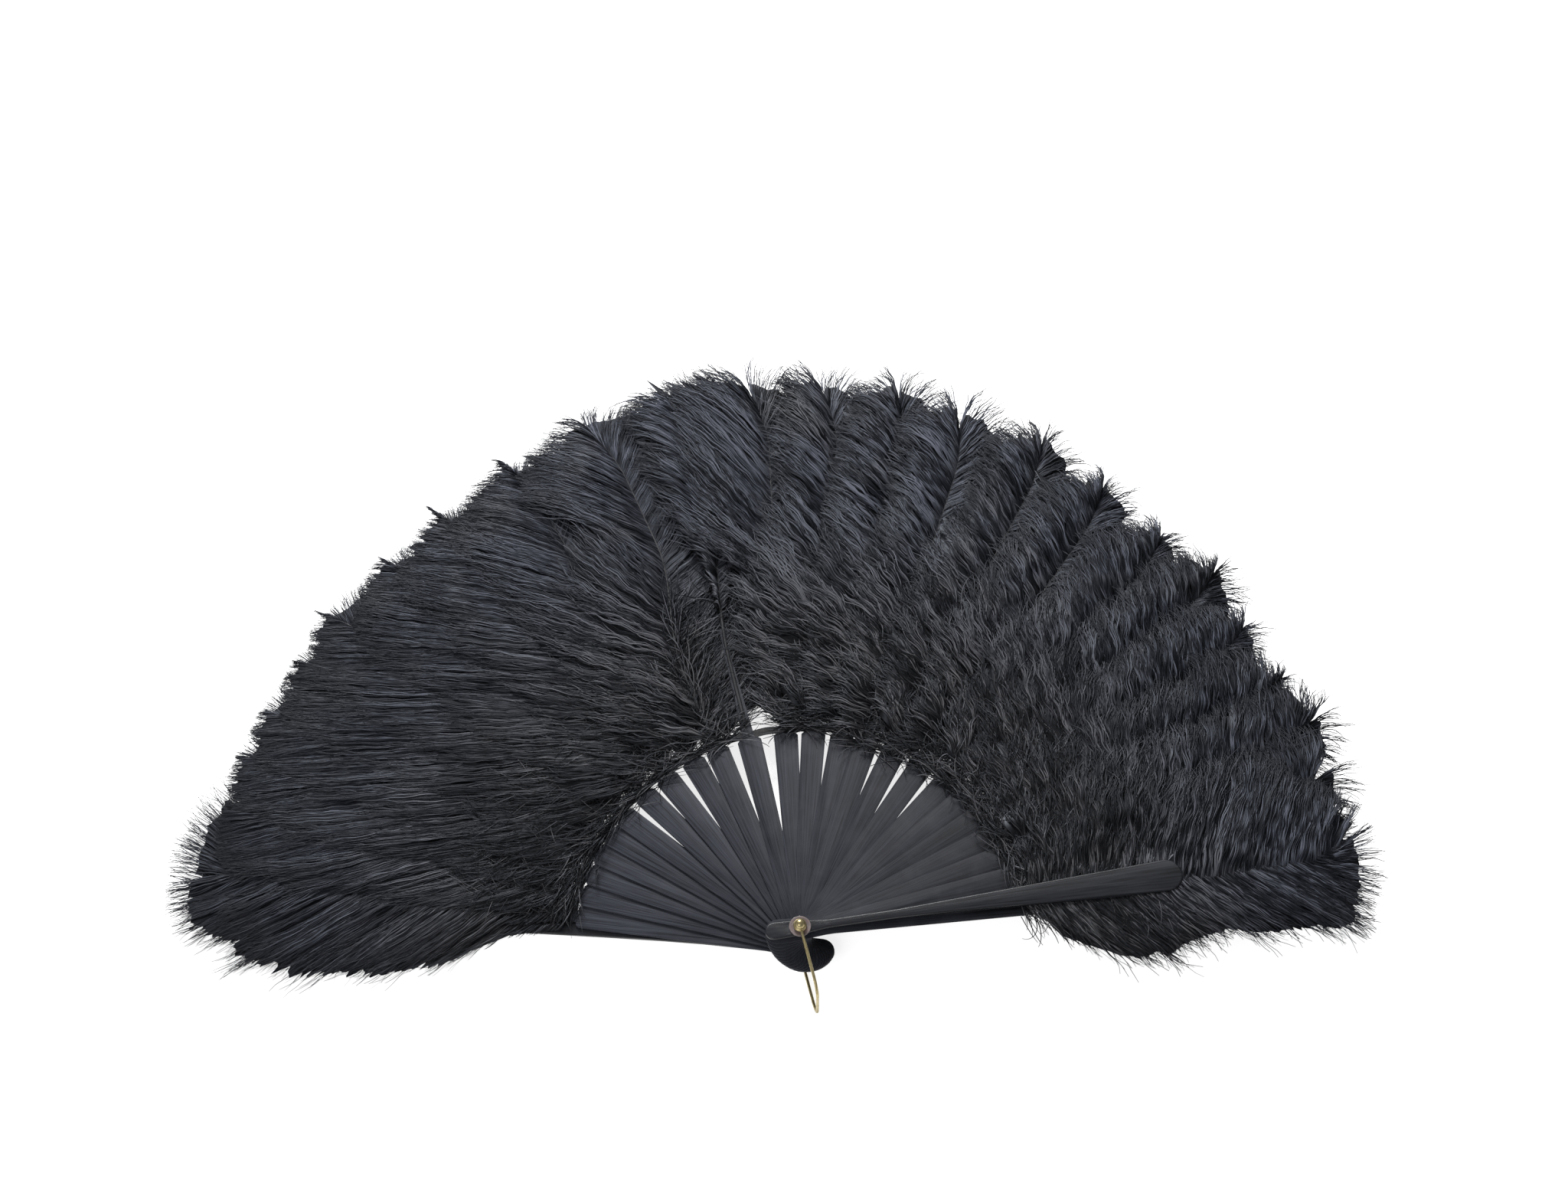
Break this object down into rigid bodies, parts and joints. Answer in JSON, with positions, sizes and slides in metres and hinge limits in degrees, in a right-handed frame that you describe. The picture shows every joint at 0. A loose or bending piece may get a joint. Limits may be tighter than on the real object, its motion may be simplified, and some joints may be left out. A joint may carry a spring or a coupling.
{
  "type": "folding feather fan",
  "caption": "Folding fan of overlapping black plumes on dark wooden sticks that turn on one brass rivet, with two thick guards, a linking ribbon and a hinged wire carrying loop.",
  "frame": {"origin": "centre of the flat back head of the rivet, on the axis that every stick turns on", "axes": "+Z along the rivet from its back head to its front knob, +Y towards the middle plumes of the open fan, +X across the fan towards the front guard"},
  "size_m": [0.6055, 0.362, 0.0432],
  "materials": {
    "ebonised_wood": "satin",
    "plume": "satin",
    "silk": "satin",
    "pearl": "gloss",
    "brass": "satin"
  },
  "bodies": {
    "back_guard_body": {"back_guard": "ebonised_wood", "plume_00": "plume", "link_ribbon": "silk", "rivet": "brass", "back_washer": "pearl", "front_washer": "pearl", "rivet_knob": "brass"},
    "stick_body_01": {"stick_01": "ebonised_wood", "plume_01": "plume"},
    "stick_body_02": {"stick_02": "ebonised_wood", "plume_02": "plume"},
    "stick_body_03": {"stick_03": "ebonised_wood", "plume_03": "plume"},
    "stick_body_04": {"stick_04": "ebonised_wood", "plume_04": "plume"},
    "stick_body_05": {"stick_05": "ebonised_wood", "plume_05": "plume"},
    "stick_body_06": {"stick_06": "ebonised_wood", "plume_06": "plume"},
    "stick_body_07": {"stick_07": "ebonised_wood", "plume_07": "plume"},
    "stick_body_08": {"stick_08": "ebonised_wood", "plume_08": "plume"},
    "stick_body_09": {"stick_09": "ebonised_wood", "plume_09": "plume"},
    "stick_body_10": {"stick_10": "ebonised_wood", "plume_10": "plume"},
    "stick_body_11": {"stick_11": "ebonised_wood", "plume_11": "plume"},
    "stick_body_12": {"stick_12": "ebonised_wood", "plume_12": "plume"},
    "stick_body_13": {"stick_13": "ebonised_wood", "plume_13": "plume"},
    "stick_body_14": {"stick_14": "ebonised_wood", "plume_14": "plume"},
    "stick_body_15": {"stick_15": "ebonised_wood", "plume_15": "plume"},
    "stick_body_16": {"stick_16": "ebonised_wood", "plume_16": "plume"},
    "stick_body_17": {"stick_17": "ebonised_wood", "plume_17": "plume"},
    "stick_body_18": {"stick_18": "ebonised_wood", "plume_18": "plume"},
    "stick_body_19": {"stick_19": "ebonised_wood", "plume_19": "plume"},
    "stick_body_20": {"stick_20": "ebonised_wood", "plume_20": "plume"},
    "stick_body_21": {"stick_21": "ebonised_wood", "plume_21": "plume"},
    "stick_body_22": {"stick_22": "ebonised_wood", "plume_22": "plume"},
    "stick_body_23": {"stick_23": "ebonised_wood", "plume_23": "plume"},
    "stick_body_24": {"stick_24": "ebonised_wood", "plume_24": "plume"},
    "front_guard_body": {"front_guard": "ebonised_wood", "plume_25": "plume"},
    "loop_body": {"carrying_loop": "brass"}
  },
  "joints": [
    {"name": "fan_close", "type": "hinge", "parent": "back_guard_body", "child": "front_guard_body", "pos_m": [0, 0, 0], "axis": [0, 0, 1], "range_deg": [0, 164.8], "deforming": ["link_ribbon"]},
    {"name": "stick_01_turn", "type": "hinge", "parent": "back_guard_body", "child": "stick_body_01", "pos_m": [0, 0, 0], "axis": [0, 0, 1], "range_deg": [0, 2.2]},
    {"name": "stick_02_turn", "type": "hinge", "parent": "back_guard_body", "child": "stick_body_02", "pos_m": [0, 0, 0], "axis": [0, 0, 1], "range_deg": [0, 8.06]},
    {"name": "stick_03_turn", "type": "hinge", "parent": "back_guard_body", "child": "stick_body_03", "pos_m": [0, 0, 0], "axis": [0, 0, 1], "range_deg": [0, 13.92]},
    {"name": "stick_04_turn", "type": "hinge", "parent": "back_guard_body", "child": "stick_body_04", "pos_m": [0, 0, 0], "axis": [0, 0, 1], "range_deg": [0, 19.78]},
    {"name": "stick_05_turn", "type": "hinge", "parent": "back_guard_body", "child": "stick_body_05", "pos_m": [0, 0, 0], "axis": [0, 0, 1], "range_deg": [0, 25.64]},
    {"name": "stick_06_turn", "type": "hinge", "parent": "back_guard_body", "child": "stick_body_06", "pos_m": [0, 0, 0], "axis": [0, 0, 1], "range_deg": [0, 31.5]},
    {"name": "stick_07_turn", "type": "hinge", "parent": "back_guard_body", "child": "stick_body_07", "pos_m": [0, 0, 0], "axis": [0, 0, 1], "range_deg": [0, 39.3]},
    {"name": "stick_08_turn", "type": "hinge", "parent": "back_guard_body", "child": "stick_body_08", "pos_m": [0, 0, 0], "axis": [0, 0, 1], "range_deg": [0, 46.5]},
    {"name": "stick_09_turn", "type": "hinge", "parent": "back_guard_body", "child": "stick_body_09", "pos_m": [0, 0, 0], "axis": [0, 0, 1], "range_deg": [0, 54.7]},
    {"name": "stick_10_turn", "type": "hinge", "parent": "back_guard_body", "child": "stick_body_10", "pos_m": [0, 0, 0], "axis": [0, 0, 1], "range_deg": [0, 61.6]},
    {"name": "stick_11_turn", "type": "hinge", "parent": "back_guard_body", "child": "stick_body_11", "pos_m": [0, 0, 0], "axis": [0, 0, 1], "range_deg": [0, 70.3]},
    {"name": "stick_12_turn", "type": "hinge", "parent": "back_guard_body", "child": "stick_body_12", "pos_m": [0, 0, 0], "axis": [0, 0, 1], "range_deg": [0, 79.9]},
    {"name": "stick_13_turn", "type": "hinge", "parent": "back_guard_body", "child": "stick_body_13", "pos_m": [0, 0, 0], "axis": [0, 0, 1], "range_deg": [0, 87.1]},
    {"name": "stick_14_turn", "type": "hinge", "parent": "back_guard_body", "child": "stick_body_14", "pos_m": [0, 0, 0], "axis": [0, 0, 1], "range_deg": [0, 94.7]},
    {"name": "stick_15_turn", "type": "hinge", "parent": "back_guard_body", "child": "stick_body_15", "pos_m": [0, 0, 0], "axis": [0, 0, 1], "range_deg": [0, 101.1]},
    {"name": "stick_16_turn", "type": "hinge", "parent": "back_guard_body", "child": "stick_body_16", "pos_m": [0, 0, 0], "axis": [0, 0, 1], "range_deg": [0, 108.9]},
    {"name": "stick_17_turn", "type": "hinge", "parent": "back_guard_body", "child": "stick_body_17", "pos_m": [0, 0, 0], "axis": [0, 0, 1], "range_deg": [0, 117.2]},
    {"name": "stick_18_turn", "type": "hinge", "parent": "back_guard_body", "child": "stick_body_18", "pos_m": [0, 0, 0], "axis": [0, 0, 1], "range_deg": [0, 125.3]},
    {"name": "stick_19_turn", "type": "hinge", "parent": "back_guard_body", "child": "stick_body_19", "pos_m": [0, 0, 0], "axis": [0, 0, 1], "range_deg": [0, 131.96]},
    {"name": "stick_20_turn", "type": "hinge", "parent": "back_guard_body", "child": "stick_body_20", "pos_m": [0, 0, 0], "axis": [0, 0, 1], "range_deg": [0, 138.62]},
    {"name": "stick_21_turn", "type": "hinge", "parent": "back_guard_body", "child": "stick_body_21", "pos_m": [0, 0, 0], "axis": [0, 0, 1], "range_deg": [0, 145.28]},
    {"name": "stick_22_turn", "type": "hinge", "parent": "back_guard_body", "child": "stick_body_22", "pos_m": [0, 0, 0], "axis": [0, 0, 1], "range_deg": [0, 151.94]},
    {"name": "stick_23_turn", "type": "hinge", "parent": "back_guard_body", "child": "stick_body_23", "pos_m": [0, 0, 0], "axis": [0, 0, 1], "range_deg": [0, 158.6]},
    {"name": "stick_24_turn", "type": "hinge", "parent": "back_guard_body", "child": "stick_body_24", "pos_m": [0, 0, 0], "axis": [0, 0, 1], "range_deg": [0, 166.5]},
    {"name": "loop_swing", "type": "hinge", "parent": "back_guard_body", "child": "loop_body", "pos_m": [0, 0, 0], "axis": [0, 0, 1], "range_deg": [-75, 70]}
  ],
  "couplings": [
    {"joint": "stick_01_turn", "follows": "fan_close", "ratio": 0.01335},
    {"joint": "stick_02_turn", "follows": "fan_close", "ratio": 0.048908},
    {"joint": "stick_03_turn", "follows": "fan_close", "ratio": 0.084466},
    {"joint": "stick_04_turn", "follows": "fan_close", "ratio": 0.12002},
    {"joint": "stick_05_turn", "follows": "fan_close", "ratio": 0.15558},
    {"joint": "stick_06_turn", "follows": "fan_close", "ratio": 0.19114},
    {"joint": "stick_07_turn", "follows": "fan_close", "ratio": 0.23847},
    {"joint": "stick_08_turn", "follows": "fan_close", "ratio": 0.28216},
    {"joint": "stick_09_turn", "follows": "fan_close", "ratio": 0.33192},
    {"joint": "stick_10_turn", "follows": "fan_close", "ratio": 0.37379},
    {"joint": "stick_11_turn", "follows": "fan_close", "ratio": 0.42658},
    {"joint": "stick_12_turn", "follows": "fan_close", "ratio": 0.48483},
    {"joint": "stick_13_turn", "follows": "fan_close", "ratio": 0.52852},
    {"joint": "stick_14_turn", "follows": "fan_close", "ratio": 0.57464},
    {"joint": "stick_15_turn", "follows": "fan_close", "ratio": 0.61347},
    {"joint": "stick_16_turn", "follows": "fan_close", "ratio": 0.6608},
    {"joint": "stick_17_turn", "follows": "fan_close", "ratio": 0.71117},
    {"joint": "stick_18_turn", "follows": "fan_close", "ratio": 0.76032},
    {"joint": "stick_19_turn", "follows": "fan_close", "ratio": 0.80073},
    {"joint": "stick_20_turn", "follows": "fan_close", "ratio": 0.84114},
    {"joint": "stick_21_turn", "follows": "fan_close", "ratio": 0.88155},
    {"joint": "stick_22_turn", "follows": "fan_close", "ratio": 0.92197},
    {"joint": "stick_23_turn", "follows": "fan_close", "ratio": 0.96238},
    {"joint": "stick_24_turn", "follows": "fan_close", "ratio": 1.0103}
  ]
}
